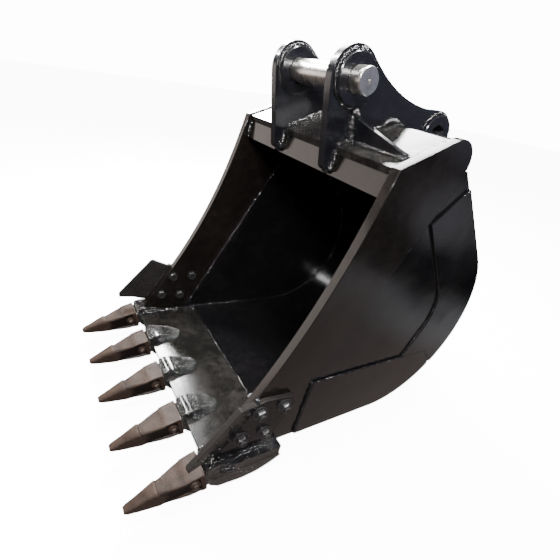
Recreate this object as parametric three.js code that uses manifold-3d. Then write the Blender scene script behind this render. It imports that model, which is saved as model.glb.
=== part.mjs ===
// Excavator digging bucket, about 0.93 m wide, as an assembly of its plates, castings and fasteners.
//
// Everything is drawn in the working frame: x across the bucket (right is +x), y back from the tooth
// tips, z up, in millimetres, with the tooth tips at y = z = 0. At the end the whole group is tipped
// forward until it stands on its adapters and its heel, and the origin moves to the middle of the base.

import * as THREE from 'three';
import { mergeVertices } from 'three/addons/utils/BufferGeometryUtils.js';
import Module from 'manifold-3d';

const wasm = await Module();
wasm.setup();

// ---------------------------------------------------------------------------------------------
// Driving dimensions (millimetres and degrees)

const RAD = Math.PI / 180;
const gap = 0.3; // between pieces that touch

const halfWidth = 465; // over the outer faces of the side bars
const barThick = 34; // cutting bars along the front of the sides
const sideThick = 20;
const sideInset = 4; // side plate's outer face lies this far inside the bar's
const barInner = halfWidth - barThick;
const sideOuter = halfWidth - sideInset;
const sideInner = sideOuter - sideThick;

const heel = { y: 1143, z: 225 }; // centre of the heel's bend
const wrapOuter = 430; // radii about that centre
const wrapInner = 414;
const sideRadius = 434;
const lipThick = 35;
const floorSlope = 14.6; // the floor falls towards the heel
const backSlope = 56;
const lipDepth = 284;
const lipStart = -800; // along the wrapper, from the heel's bend forward
const lipEnd = lipStart + lipDepth;

const nose = { y: 1162, z: 895 }; // the round rear top corner
const noseRadius = 70;
const tubeRadius = 64;
const tubeBore = 48;
const frontCorner = { y: 915, z: 911 };
const topThick = 22;
const topFront = 921;
const shellTop = 520; // the shell's upper end, beyond the end of the bend

const bandFoot = { y: 904, z: 815 };
const bandHead = { y: 926, z: 884 };
const bandThick = 20;

const frontEdge = { y: -1289, z: 1876, r: 2405 }; // the hollow front edge of the sides
const barToe = 70; // height where the front edge turns down to the lip
const seamTop = 470; // joint of bar and side plate: up the back from the end of the bend
const seamFoot = -568; // and forward along the floor from its start

const pinRadius = 40;
const pinLength = 474;
const pinPlay = 0.6;
const earInner = 143;
const earThick = 32;
const bossRadius = 76;
const bossProud = 14;
const earToe = [{ y: 936, z: 872 }, { y: 936, z: 836 }, { y: 900, z: 830 }, { y: 884, z: 835 }, { y: 876.5, z: 848 }];
const earHeel = 215; // lower end of the ears on the shell, beyond the end of the bend
const frontLug = { y: 969.5, z: 1099.7, r: 93 };
const rearLug = { y: 1409, z: 893, r: 90 };
const earNeck = 580; // radius of the hollow between the two lugs

const ribY = 976;
const ribThick = 16;
const ribReach = 243;
const ribHeight = 999;
const ribEndHeight = 932;

const toothCount = 5;
const toothPitch = 231;
const toothRear = 248;
const shoulder = 254; // front face of the adapter's shoulder
const bodyHalf = 45;
const legPoint = { y: 431, z: -119 }; // lowest corner of an adapter's leg
const strapRoot = 306; // where the strap starts to narrow towards its rounded end
const strapWaist = { y: 362, half: 34 };
const strapEnd = { y: 390, half: 15 };
const toothPinAt = { y: 215, z: 2 };
const toothPinRadius = 9;
const toothPinHalf = 44;

const boltRadius = 13.5;
const boltAcross = 46; // head and nut, across corners
const headThick = 17;
const nutThick = 22;
const flangeThick = 20;
const flangeLow = 75; // heights of the flange's front edge
const flangeHigh = 226;
const boltTail = 8; // bolt left standing over its nut
const boltAt = [{ y: 387, z: 101 }, { y: 461, z: 185 }, { y: 476, z: 68 }, { y: 555, z: 162 }];
const wingBend = 16;

const stripThick = 14;
const stripLength = 120;
const stripPitch = 260;
const stripHalf = 430;
const firstStrip = -210; // along the wrapper

const doublerThick = 9;
const doublerRadius = 200;
const doublerAt = { y: 1112, z: 290 };
const doublerLow = -38; // degrees about its centre
const doublerToe = 1180; // where its straight lower edge meets the wear plate's top line
const doublerSeam = 0.83; // share of the seam below its top corner
const doublerEnds = { low: 395, high: 395 }; // along the wrapper: from the bend's start and beyond its end
const wearTop = 162; // top line of the bottom wear plates, below the heel centre
const wearFront = -430; // along the wrapper
const wearRear = 390;
const wearTopFront = 690; // y of the top line's front end
const wearTopBack = 60; // from the rear end's y to the top line's
const wearRise = 20; // height of the rear end

const lipHoles = [{ x: -367, y: 361 }, { x: -405, y: 458 }];
const lipHoleRadius = 20;

// ---------------------------------------------------------------------------------------------
// Materials

const paint = (hex, roughness = 0.22) => new THREE.MeshStandardMaterial({ color: hex, roughness, metalness: 0 });
const blackPaint = paint(0x0b0b0d);
const barPaint = paint(0x161314);
const castPaint = paint(0x1d1715, 0.5);
const boltPaint = paint(0x101012, 0.35);
const steel = (hex, roughness) => new THREE.MeshStandardMaterial({ color: hex, roughness, metalness: 1 });
const pinSteel = steel(0xb9b6ad, 0.3);
const toothPinSteel = steel(0x8a8377, 0.45);

// ---------------------------------------------------------------------------------------------
// Solids

const at = (y, z) => new THREE.Vector2(y, z);

// Side outlines (y, z) are drawn in a shape's x and y and pushed along its z, which becomes x.
const sideways = new THREE.Matrix4().makeBasis(
  new THREE.Vector3(0, 1, 0), new THREE.Vector3(0, 0, 1), new THREE.Vector3(1, 0, 0));

function solid(geometry) {
  const bare = geometry.index ? geometry.toNonIndexed() : geometry.clone();
  bare.deleteAttribute('normal');
  bare.deleteAttribute('uv');
  const merged = mergeVertices(bare, 1e-4);
  return new wasm.Manifold(new wasm.Mesh({
    numProp: 3,
    vertProperties: merged.attributes.position.array,
    triVerts: new Uint32Array(merged.index.array),
  }));
}

function geometryOf(body) {
  const mesh = body.getMesh();
  const geometry = new THREE.BufferGeometry();
  geometry.setAttribute('position', new THREE.BufferAttribute(mesh.vertProperties, 3));
  geometry.setIndex(new THREE.BufferAttribute(mesh.triVerts, 1));
  return geometry;
}

// A side outline pushed across the bucket from x0 to x1.
function slab(outline, x0, x1) {
  const geometry = new THREE.ExtrudeGeometry(new THREE.Shape(outline), { depth: x1 - x0, bevelEnabled: false });
  return solid(geometry.applyMatrix4(sideways).translate(x0, 0, 0));
}

// A plan outline (x, y) pushed up from z0 to z1.
function tablet(outline, z0, z1) {
  const geometry = new THREE.ExtrudeGeometry(new THREE.Shape(outline), { depth: z1 - z0, bevelEnabled: false });
  return solid(geometry.translate(0, 0, z0));
}

// A round bar across the bucket from x0 to x1.
function rod(centre, radius, x0, x1, sides = 32) {
  const geometry = new THREE.CylinderGeometry(radius, radius, x1 - x0, sides);
  return solid(geometry.rotateZ(-Math.PI / 2).translate((x0 + x1) / 2, centre.y, centre.z));
}

// A round tube across the bucket.
function pipe(centre, radius, bore, x0, x1, sides = 32) {
  return rod(centre, radius, x0, x1, sides).subtract(rod(centre, bore, x0 - 1, x1 + 1, sides));
}

const bucket = new THREE.Group();

function add(name, body, material) {
  const mesh = new THREE.Mesh(geometryOf(body), material);
  mesh.name = name;
  bucket.add(mesh);
}

// Builds one piece for each side: make(x0, x1) draws it between two planes, given for the right side.
function addPair(name, inner, outer, material, make) {
  add(`${name}_right`, make(inner, outer, 1), material);
  add(`${name}_left`, make(-outer, -inner, -1), material);
}

// ---------------------------------------------------------------------------------------------
// Outlines

function arc(centre, radius, from, to, steps) {
  const points = [];
  for (let i = 0; i <= steps; i += 1) {
    const a = (from + ((to - from) * i) / steps) * RAD;
    points.push(at(centre.y + radius * Math.cos(a), centre.z + radius * Math.sin(a)));
  }
  return points;
}

// The wrapper's line: floor, heel bend and back. s runs along it in mm from the start of the bend
// (negative on the floor), r is the distance outside the heel's centre.
const wrapStart = -(90 + floorSlope) * RAD;
const wrapTurn = (180 + floorSlope - backSlope) * RAD;
const bendLength = wrapOuter * wrapTurn;

function wrap(s, r) {
  const turned = THREE.MathUtils.clamp(s / wrapOuter, 0, wrapTurn);
  const straight = s - turned * wrapOuter;
  const a = wrapStart + turned;
  return at(
    heel.y + r * Math.cos(a) - straight * Math.sin(a),
    heel.z + r * Math.sin(a) + straight * Math.cos(a));
}

function wrapLine(r, from, to) {
  const bendStep = bendLength / 14;
  const points = [wrap(from, r)];
  for (let s = 0; s <= bendLength + 1; s += bendStep) {
    if (s > from + 1 && s < to - 1) points.push(wrap(s, r));
  }
  points.push(wrap(to, r));
  return points;
}

function band(inner, outer, from, to) {
  return [...wrapLine(outer, from, to), ...wrapLine(inner, from, to).reverse()];
}

// The hollow front edge of the sides, at a height, and as a line between two heights.
const edgeAt = (z) => frontEdge.y + Math.sqrt(frontEdge.r ** 2 - (frontEdge.z - z) ** 2);

function edgeLine(from, to, steps) {
  const points = [];
  for (let i = 0; i <= steps; i += 1) {
    const z = from + ((to - from) * i) / steps;
    points.push(at(edgeAt(z), z));
  }
  return points;
}

// The top line leaves the front corner and touches the nose.
const topSlope = (() => {
  const dy = nose.y - frontCorner.y;
  const dz = nose.z - frontCorner.z;
  return Math.atan2(dz, dy) + Math.asin(noseRadius / Math.hypot(dy, dz));
})();
const topAngle = 90 + topSlope / RAD;

// A point on the top line's parallel through radius r about the nose, at a given y.
function topAt(y, r) {
  const normal = at(-Math.sin(topSlope), Math.cos(topSlope));
  const start = at(nose.y + r * normal.x, nose.z + r * normal.y);
  return at(y, start.y + (y - start.x) * Math.tan(topSlope));
}

// The seam between cutting bar and side plate, moved back by an offset.
function seamAt(t, offset) {
  const foot = wrap(seamFoot, wrapInner - gap);
  const run = wrap(bendLength + seamTop, sideRadius).sub(foot);
  const back = at(run.y, -run.x).setLength(offset);
  return foot.addScaledVector(run, t).add(back);
}

// Outline of everything that the ears and ribs stand on, grown by an offset.
function bodyOutline(grow) {
  const tubeEnd = -10; // degrees
  const backFrom = bendLength * 0.6;
  return [
    at(bandFoot.y - 2 * grow, bandFoot.z),
    at(bandHead.y - 2 * grow, bandHead.z - 1),
    at(topFront - grow, bandHead.z - 1),
    topAt(topFront - grow, tubeRadius + grow),
    topAt(nose.y - 12, tubeRadius + grow),
    ...arc(nose, tubeRadius - 3, topAngle, tubeEnd, 10),
    ...wrapLine(wrapOuter + grow, backFrom, bendLength + shellTop - 25).reverse(),
    at(heel.y, heel.z + 200),
  ];
}

// ---------------------------------------------------------------------------------------------
// Body plates

function barOutline(seamShift) {
  return [
    wrap(lipStart + 12, wrapInner - gap),
    at(edgeAt(barToe), barToe),
    ...edgeLine(barToe + 60, frontCorner.z - 60, 9),
    at(frontCorner.y, frontCorner.z),
    ...arc(nose, noseRadius, topAngle, -28, 8),
    seamAt(1 + seamShift / 200, seamShift),
    seamAt(0, seamShift),
  ];
}

function cuttingBar(x0, x1) {
  const holes = boltAt.map((spot) => rod(spot, boltRadius + 1, x0 - 1, x1 + 1, 12));
  return holes.reduce((body, hole) => body.subtract(hole), slab(barOutline(0), x0, x1));
}

function sidePlate(x0, x1) {
  const outline = [
    seamAt(0, 2 * gap),
    wrap(lipEnd + 4, wrapInner - gap),
    ...wrapLine(sideRadius, lipEnd + 4, bendLength + seamTop - 2 * gap),
  ];
  return slab(outline, x0, x1);
}

function heelDoubler(x0, x1) {
  const outline = [
    wearTopAt(doublerToe),
    ...arc(doublerAt, doublerRadius, doublerLow, 90 - backSlope, 8),
    seamAt(doublerSeam, 10),
    ...wrapLine(sideRadius - 3, doublerEnds.low, bendLength + doublerEnds.high).reverse(),
  ];
  return slab(outline, x0, x1).subtract(slab(wearOutline(gap), x0 - 1, x1 + 1));
}

// The wear plate, grown by an offset at its top and rear.
function wearOutline(grow) {
  const rear = wrap(wearRear, sideRadius - 3);
  const end = at(rear.x + grow, rear.y + wearRise + grow);
  const back = wearTopAt(rear.x - wearTopBack);
  return [
    ...wrapLine(sideRadius - 3, wearFront, wearRear),
    end,
    at(back.x, back.y + grow),
    wearTopAt(wearTopFront),
  ];
}

function bottomWearPlate(x0, x1) {
  return slab(wearOutline(0), x0, x1);
}

// The wear plate's top line runs parallel to the floor.
function wearTopAt(y) {
  const normal = at(Math.cos(wrapStart), Math.sin(wrapStart));
  const start = at(heel.y + wearTop * normal.x, heel.z + wearTop * normal.y);
  return at(y, start.y - (y - start.x) * Math.tan(floorSlope * RAD));
}

function shell() {
  const outline = band(wrapInner, wrapOuter, lipEnd + gap, bendLength + shellTop);
  return slab(outline, -sideInner + gap, sideInner - gap)
    .subtract(rod(nose, tubeRadius + gap, -halfWidth, halfWidth, 40))
    .subtract(slab(barOutline(1), barInner - gap, halfWidth))
    .subtract(slab(barOutline(1), -halfWidth, gap - barInner));
}

function lip(grow = 0) {
  const front = lipStart - grow;
  const outline = [
    wrap(front, wrapInner - grow),
    wrap(front, wrapInner + 12),
    wrap(front + 26, wrapInner + lipThick + grow),
    wrap(lipEnd + grow, wrapInner + lipThick + grow),
    wrap(lipEnd + grow, wrapInner - grow),
  ];
  return slab(outline.reverse(), -halfWidth - grow, halfWidth + grow);
}

function lipPlate() {
  return lipHoles.reduce((body, hole) => {
    const cutter = new THREE.CylinderGeometry(lipHoleRadius, lipHoleRadius, 200, 20);
    return body.subtract(solid(cutter.rotateX(Math.PI / 2).translate(hole.x, hole.y, -40)));
  }, lip());
}

function topPlate() {
  const outline = [
    topAt(topFront, tubeRadius - topThick),
    topAt(nose.y + 20, tubeRadius - topThick),
    topAt(nose.y - 14, tubeRadius),
    topAt(topFront, tubeRadius),
  ];
  const body = slab(outline, -barInner + gap, barInner - gap);
  return body.subtract(rod(nose, tubeRadius + gap, -halfWidth, halfWidth, 40));
}

function frontBand() {
  const outline = [
    at(bandFoot.y, bandFoot.z),
    at(bandFoot.y + bandThick, bandFoot.z - 6),
    at(bandHead.y + bandThick, bandHead.z),
    at(bandHead.y, bandHead.z),
  ];
  return slab(outline, -barInner + gap, barInner - gap);
}

function addBody() {
  addPair('cutting_bar', barInner, halfWidth, barPaint, cuttingBar);
  addPair('side_plate', sideInner, sideOuter, blackPaint, sidePlate);
  addPair('heel_doubler', sideOuter + gap, sideOuter + gap + doublerThick, blackPaint, heelDoubler);
  addPair('bottom_wear_plate', sideOuter + gap, sideOuter + gap + doublerThick, blackPaint, bottomWearPlate);
  add('bucket_shell', shell(), blackPaint);
  add('lip_plate', lipPlate(), blackPaint);
  add('top_plate', topPlate(), blackPaint);
  add('torque_tube', pipe(nose, tubeRadius, tubeBore, -barInner + gap, barInner - gap, 40), blackPaint);
  add('front_band', frontBand(), barPaint);
  for (let i = 0; i < 3; i += 1) {
    const from = firstStrip + i * stripPitch;
    const outline = band(wrapOuter + gap, wrapOuter + stripThick, from, from + stripLength);
    add(`heel_wear_strip_${i + 1}`, slab(outline, -stripHalf, stripHalf), blackPaint);
  }
}

// ---------------------------------------------------------------------------------------------
// Hinge: two ears with bosses, and the pin

function earPlate(x0, x1) {
  // the hollow's centre lies one neck radius beyond both lugs
  const dy = rearLug.y - frontLug.y;
  const dz = rearLug.z - frontLug.z;
  const span = Math.hypot(dy, dz);
  const a = earNeck + frontLug.r;
  const b = earNeck + rearLug.r;
  const along = (a * a - b * b + span * span) / (2 * span);
  const above = Math.sqrt(a * a - along * along);
  const neck = {
    y: frontLug.y + (dy * along - dz * above) / span,
    z: frontLug.z + (dz * along + dy * above) / span,
  };
  const toFront = Math.atan2(frontLug.z - neck.z, frontLug.y - neck.y) / RAD;
  const toRear = Math.atan2(rearLug.z - neck.z, rearLug.y - neck.y) / RAD;
  const footRear = wrap(bendLength + earHeel, wrapOuter - 6);
  const outline = [
    ...earToe.map((point) => at(point.y, point.z)),
    ...arc(frontLug, frontLug.r, 180, toFront + 180, 10),
    ...arc(neck, earNeck, toFront, toRear, 8).slice(1, -1),
    ...arc(rearLug, rearLug.r, toRear + 180, -20, 10),
    at(footRear.x + 34, footRear.y + 12),
    footRear,
    at(1200, 800),
  ];
  return slab(outline.reverse(), x0, x1)
    .subtract(slab(bodyOutline(gap).reverse(), x0 - 1, x1 + 1))
    .subtract(rod(nose, tubeRadius + gap, x0 - 1, x1 + 1, 40))
    .subtract(rod(frontLug, bossRadius + gap, x0 - 1, x1 + 1, 40))
    .subtract(rod(rearLug, bossRadius + gap, x0 - 1, x1 + 1, 40));
}

// The single rib stands across the top plate, on the right ear's outer side.
function rib() {
  const inner = earInner + earThick + gap;
  const outer = inner + ribReach;
  const low = topAt(ribY, 0).y;
  const outline = [at(inner, low), at(outer, low), at(outer, ribEndHeight), at(inner, ribHeight)];
  const geometry = new THREE.ExtrudeGeometry(new THREE.Shape(outline), { depth: ribThick, bevelEnabled: false });
  const plate = solid(geometry.rotateX(Math.PI / 2).translate(0, ribY + ribThick, 0));
  return plate.subtract(slab(bodyOutline(gap).reverse(), -halfWidth, halfWidth));
}

function addHinge() {
  const earOuter = earInner + earThick;
  addPair('ear', earInner, earOuter, blackPaint, earPlate);
  const boss = (lug) => (x0, x1) => pipe(lug, bossRadius, pinRadius + pinPlay, x0, x1, 40);
  addPair('front_boss', earInner - bossProud, earOuter + bossProud, blackPaint, boss(frontLug));
  addPair('rear_boss', earInner - bossProud, earOuter + bossProud, blackPaint, boss(rearLug));
  add('gusset_rib', rib(), blackPaint);
  add('hinge_pin', rod(frontLug, pinRadius, -pinLength / 2, pinLength / 2, 40), pinSteel);
}

// ---------------------------------------------------------------------------------------------
// Ground engaging tools: adapters, teeth and their retaining pins

const noseOutline = (grow) => [
  at(shoulder + 2, 36 + grow), at(105 - grow, 12 + grow), at(105 - grow, -12 - grow), at(shoulder + 2, -34 - grow)];

const nosePlan = (x, grow) => [
  at(x - 14 - grow, 105 - grow), at(x + 14 + grow, 105 - grow),
  at(x + 36 + grow, shoulder + 2), at(x - 36 - grow, shoulder + 2)];

function noseBody(x, grow) {
  return slab(noseOutline(grow), x - 60, x + 60).intersect(tablet(nosePlan(x, grow), -60, 60));
}

// The leg clamps the lip from below, and the strap runs back over it and narrows to a rounded end.
function adapter(x) {
  const leg = [
    at(shoulder, 52),
    at(shoulder, -44),
    at(284, -74),
    at(371, -108),
    at(legPoint.y, legPoint.z),
    at(487, -115),
    at(536, -102),
    wrap(lipEnd, wrapInner + lipThick + 2),
    wrap(lipEnd, wrapInner),
    wrap(-745, wrapInner),
    at(strapRoot, 56),
    at(278, 64),
  ];
  const strap = [
    wrap(lipStart, wrapInner + 5),
    wrap(-670, wrapInner + 5),
    wrap(-672, wrapInner),
    wrap(-680, wrapInner - 14),
    at(strapRoot, 56),
    at(278, 64),
  ];
  const strapPlan = [
    at(x - bodyHalf, shoulder),
    at(x + bodyHalf, shoulder),
    at(x + bodyHalf, strapRoot),
    at(x + strapWaist.half, strapWaist.y),
    at(x + strapEnd.half, strapEnd.y),
    at(x - strapEnd.half, strapEnd.y),
    at(x - strapWaist.half, strapWaist.y),
    at(x - bodyHalf, strapRoot),
  ];
  const hole = rod(toothPinAt, toothPinRadius + 0.5, x - 60, x + 60, 14);
  return slab(leg, x - bodyHalf, x + bodyHalf)
    .add(slab(strap, x - bodyHalf, x + bodyHalf).intersect(tablet(strapPlan, -60, 100)))
    .add(noseBody(x, 0))
    .subtract(lip(gap))
    .subtract(hole);
}

// An end adapter also gives way to the cutting bar that stands on the lip.
function endAdapter(x, side) {
  const near = side * (barInner - gap);
  const far = side * (halfWidth + gap);
  const clear = slab([
    wrap(lipStart + 12 - gap, wrapInner + 1), at(edgeAt(barToe) - 1, barToe + 1), at(460, 200),
    wrap(lipEnd, wrapInner + 1),
  ].reverse(), Math.min(near, far), Math.max(near, far));
  return adapter(x).subtract(clear);
}

function tooth(x) {
  const side = [
    at(0, 9), at(-2, -2), at(6, -8), at(45, -19), at(110, -31), at(toothRear, -42),
    at(toothRear, 47), at(112, 34), at(104, 30), at(45, 22),
  ];
  const plan = [
    at(x - 14, 0), at(x + 14, 0), at(x + 21, 45), at(x + 29, 100), at(x + 42, 165), at(x + 47, 200),
    at(x + 49, toothRear), at(x - 49, toothRear), at(x - 47, 200), at(x - 42, 165), at(x - 29, 100), at(x - 21, 45),
  ];
  return slab(side, x - 60, x + 60)
    .intersect(tablet(plan, -60, 60))
    .subtract(noseBody(x, 1.5))
    .subtract(rod(toothPinAt, toothPinRadius + 0.5, x - 60, x + 60, 14));
}

function addTeeth() {
  const middle = (toothCount + 1) / 2;
  for (let i = 1; i <= toothCount; i += 1) {
    const x = (i - middle) * toothPitch;
    const isEnd = i === 1 || i === toothCount;
    add(`adapter_${i}`, isEnd ? endAdapter(x, Math.sign(x)) : adapter(x), castPaint);
    add(`tooth_${i}`, tooth(x), castPaint);
    const pin = rod(toothPinAt, toothPinRadius, x - toothPinHalf, x + toothPinHalf, 14);
    add(`tooth_pin_${i}`, pin, toothPinSteel);
  }
}

// ---------------------------------------------------------------------------------------------
// Side cutters and their bolts

function sideCutter(x0, x1, side) {
  const flange = slab([
    at(edgeAt(flangeLow), flangeLow), at(500, 26), at(528, 42), at(608, 148), at(594, 186),
    at(488, flangeHigh), at(edgeAt(flangeHigh), flangeHigh),
  ], x0, x1);
  const holes = boltAt.map((spot) => rod(spot, boltRadius + 1, x0 - 1, x1 + 1, 12));
  return holes.reduce((body, hole) => body.subtract(hole), flange.add(wing(x0, x1, side)));
}

// The wing is drawn flat in the flange's plane, then bent outwards about the flange's front edge.
function wing(x0, x1, side) {
  const foot = at(edgeAt(flangeLow), flangeLow);
  const head = at(edgeAt(flangeHigh), flangeHigh);
  const lean = Math.atan2(head.y - foot.y, head.x - foot.x);
  const length = Math.hypot(head.x - foot.x, head.y - foot.y);
  const outline = [
    at(0, 0), at(-20, 50), at(-54, 104), at(-40, 116), at(length - 28, 90), at(length - 20, 84), at(length, 0),
  ];
  const flat = new THREE.ExtrudeGeometry(new THREE.Shape(outline.reverse()), { depth: x1 - x0, bevelEnabled: false });
  // local x runs along the edge, y forwards, z across the plate
  const frame = new THREE.Matrix4().makeBasis(
    new THREE.Vector3(0, Math.cos(lean), Math.sin(lean)),
    new THREE.Vector3(0, -Math.sin(lean), Math.cos(lean)),
    new THREE.Vector3(1, 0, 0));
  flat.translate(0, 0, side > 0 ? 0 : x0 - x1);
  flat.rotateX(side * wingBend * RAD);
  flat.applyMatrix4(frame);
  return solid(flat.translate(side > 0 ? x0 : x1, foot.x, foot.y));
}

function hexagon(spot, across, x0, x1) {
  return rod(spot, across / 2, x0, x1, 6);
}

function bolt(spot, side) {
  const head = side * (barInner - gap);
  const tail = side * (halfWidth + flangeThick + nutThick + boltTail);
  const cap = side * (barInner - gap - headThick);
  const shank = rod(spot, boltRadius, Math.min(head, tail), Math.max(head, tail), 12);
  return shank.add(hexagon(spot, boltAcross, Math.min(head, cap), Math.max(head, cap)));
}

function nut(spot, side) {
  const near = side * (halfWidth + flangeThick + 2 * gap);
  const far = near + side * nutThick;
  const low = Math.min(near, far);
  const high = Math.max(near, far);
  return hexagon(spot, boltAcross, low, high).subtract(rod(spot, boltRadius + gap, low - 1, high + 1, 12));
}

function addSideCutters() {
  const inner = halfWidth + gap;
  addPair('side_cutter', inner, inner + flangeThick, castPaint, sideCutter);
  for (const [word, side] of [['right', 1], ['left', -1]]) {
    boltAt.forEach((spot, i) => {
      add(`cutter_bolt_${word}_${i + 1}`, bolt(spot, side), boltPaint);
      add(`cutter_nut_${word}_${i + 1}`, nut(spot, side), boltPaint);
    });
  }
}

// ---------------------------------------------------------------------------------------------
// Assembly: the bucket stands on its adapters' legs and on the middle wear strip

function standUp() {
  const strip = wrap(firstStrip + stripPitch, wrapOuter + stripThick);
  bucket.rotation.x = -Math.atan2(strip.y - legPoint.z, strip.x - legPoint.y);
  const box = new THREE.Box3().setFromObject(bucket, true);
  bucket.position.set(0, -(box.min.y + box.max.y) / 2, -box.min.z);
}

addBody();
addHinge();
addTeeth();
addSideCutters();
standUp();

export default bucket;
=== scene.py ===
"""Looks of an excavator digging bucket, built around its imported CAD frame.

The plates, castings, fasteners and weld beads are drawn in the working frame: millimetres, x across the
bucket (right is +x), y back from the tooth tips, z up. PLACE carries that to the record's frame in metres.
"""

import math

import bmesh
import bpy
from mathutils import Matrix, Vector, noise

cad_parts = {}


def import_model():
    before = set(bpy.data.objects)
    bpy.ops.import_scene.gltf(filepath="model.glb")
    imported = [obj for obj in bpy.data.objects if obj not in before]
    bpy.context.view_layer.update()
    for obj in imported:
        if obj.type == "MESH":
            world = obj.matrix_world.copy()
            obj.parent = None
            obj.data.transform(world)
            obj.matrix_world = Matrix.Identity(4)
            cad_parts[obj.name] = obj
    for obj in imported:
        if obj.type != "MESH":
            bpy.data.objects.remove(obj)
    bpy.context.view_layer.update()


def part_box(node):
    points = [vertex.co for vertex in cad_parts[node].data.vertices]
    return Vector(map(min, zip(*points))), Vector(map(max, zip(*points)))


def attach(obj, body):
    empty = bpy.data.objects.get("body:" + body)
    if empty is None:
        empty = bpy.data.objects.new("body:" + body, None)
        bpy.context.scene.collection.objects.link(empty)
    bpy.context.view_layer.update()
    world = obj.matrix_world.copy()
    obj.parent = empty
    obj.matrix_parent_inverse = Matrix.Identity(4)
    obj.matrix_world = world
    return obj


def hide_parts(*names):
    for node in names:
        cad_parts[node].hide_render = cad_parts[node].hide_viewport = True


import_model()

# ------------------------------------------------------------------------------------------------
# Driving sizes of the working frame

MM = 0.001
SIDES = (("right", 1), ("left", -1))
GAP = 0.3  # between neighbouring plates, as in the frame

FRONT_LUG = (969.5, 1099.7)
REAR_LUG = (1409.0, 893.0)
LUG_RADII = (93.0, 90.0)
EAR_NECK = 580.0

HALF_WIDTH = 465.0
BAR_INNER = 431.0
BETWEEN_BARS = BAR_INNER - GAP
SIDE_OUTER = 461.0
SIDE_INNER = 441.0

HEEL = (1143.0, 225.0)
WRAP_OUTER = 430.0
WRAP_INNER = 414.0
SIDE_RADIUS = 434.0
PATCH_RADIUS = SIDE_RADIUS - 3  # rim of the plates that lie on the sides
LIP_THICK = 35.0
FLOOR_SLOPE = math.radians(14.6)
BACK_SLOPE = math.radians(56.0)
LIP_START = -800.0
LIP_END = -516.0
SHELL_END = 500.0

NOSE = (1162.0, 895.0)
NOSE_RADIUS = 70.0
TUBE_RADIUS = 64.0
TUBE_BORE = 48.0
FRONT_CORNER = (915.0, 911.0)
TOP_THICK = 22.0
TOP_FRONT = 921.0
BAND_FOOT = (904.0, 815.0)
BAND_HEAD = (926.0, 884.0)
BAND_THICK = 20.0

EDGE_CENTRE = (-1289.0, 1876.0)
EDGE_RADIUS = 2405.0
BAR_TOE = 70.0
SEAM_TOP = 470.0
SEAM_FOOT = -568.0

EAR_INNER = 143.0
EAR_OUTER = 175.0
BOSS_RADIUS = 76.0
BOSS_PROUD = 14.0
PIN_RADIUS = 40.0
PIN_LENGTH = 474.0
RIB_Y = 976.0
RIB_THICK = 16.0
RIB_REACH = 243.0
RIB_HEIGHT = 999.0
RIB_END_HEIGHT = 932.0

TOOTH_PITCH = 231.0
SHOULDER = 254.0
BODY_HALF = 45.0
TOOTH_PIN = (215.0, 2.0)

BOLTS = ((387.0, 101.0), (461.0, 185.0), (476.0, 68.0), (555.0, 162.0))
BOLT_RADIUS = 13.5
BOLT_HOLE = 14.5
BOLT_TAIL = 30.0
HEAD_THICK = 17.0
NUT_ACROSS = 46.0
NUT_END = 22.0
WASHER_RADIUS = 28.0
FLANGE_THICK = 20.0
FLANGE_LOW = 75.0
FLANGE_HIGH = 226.0
WING_BEND = math.radians(16.0)

STRIP_THICK = 14.0
STRIP_LENGTH = 120.0
STRIP_PITCH = 260.0
STRIP_HALF = 430.0
FIRST_STRIP = -210.0
DOUBLER = (1112.0, 290.0)
DOUBLER_RADIUS = 200.0
DOUBLER_THICK = 9.0
DOUBLER_LOW = math.radians(-38)
DOUBLER_TOE = 1180.0
DOUBLER_SEAM = 0.83
DOUBLER_ENDS = (407.0, 395.0)
WEAR_TOP = 162.0
WEAR_FRONT = -430.0
WEAR_TOP_FRONT = 690.0
WEAR_REAR = 390.0
WEAR_RISE = 20.0
WEAR_BACK = 60.0
LIP_HOLES = ((-367.0, 361.0), (-405.0, 458.0))
LIP_HOLE_RADIUS = 20.0

FLOOR_GLOW = 11.0
SURROUND = 14.0
REAR_WALL = (0.75, 0.66, 0.0)
FAR_WINDOW = (0.489, 0.837, -0.245)  # direction of a bright patch that the right side mirrors
RAGGED = 0.06  # how far the mirrored wall's borders wander


def centre(node):
    low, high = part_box(node)
    return (low + high) / 2


def place_matrix():
    """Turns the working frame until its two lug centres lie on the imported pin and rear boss."""
    pin = centre("hinge_pin")
    boss = centre("rear_boss_right")
    packed = math.atan2(boss.z - pin.z, boss.y - pin.y)
    drawn = math.atan2(REAR_LUG[1] - FRONT_LUG[1], REAR_LUG[0] - FRONT_LUG[0])
    turn = Matrix.Rotation(packed - drawn, 4, "X") @ Matrix.Scale(MM, 4)
    shift = Vector((0, pin.y, pin.z)) - turn @ Vector((0, *FRONT_LUG))
    return Matrix.Translation(shift) @ turn


PLACE = place_matrix()

# Basis for a side outline: its x runs back along y, its y runs up along z, its depth across along x.
SIDEWAYS = Matrix(((0, 0, 1, 0), (1, 0, 0, 0), (0, 1, 0, 0), (0, 0, 0, 1)))

# ------------------------------------------------------------------------------------------------
# Lines shared by the outlines


def arc(middle, radius, start, end, steps=24):
    """Points (y, z) on an arc between two angles in radians."""
    angles = [start + (end - start) * i / steps for i in range(steps + 1)]
    return [(middle[0] + radius * math.cos(a), middle[1] + radius * math.sin(a)) for a in angles]


WRAP_ANGLE = -(math.pi / 2 + FLOOR_SLOPE)
WRAP_TURN = math.pi + FLOOR_SLOPE - BACK_SLOPE
BEND_LENGTH = WRAP_OUTER * WRAP_TURN


def wrap(s, r):
    """A point of the wrapper: s mm along it from the start of the heel bend, r mm outside its centre."""
    turned = min(max(s / WRAP_OUTER, 0.0), WRAP_TURN)
    straight = s - turned * WRAP_OUTER
    a = WRAP_ANGLE + turned
    y = HEEL[0] + r * math.cos(a) - straight * math.sin(a)
    z = HEEL[1] + r * math.sin(a) + straight * math.cos(a)
    return (y, z)


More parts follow.
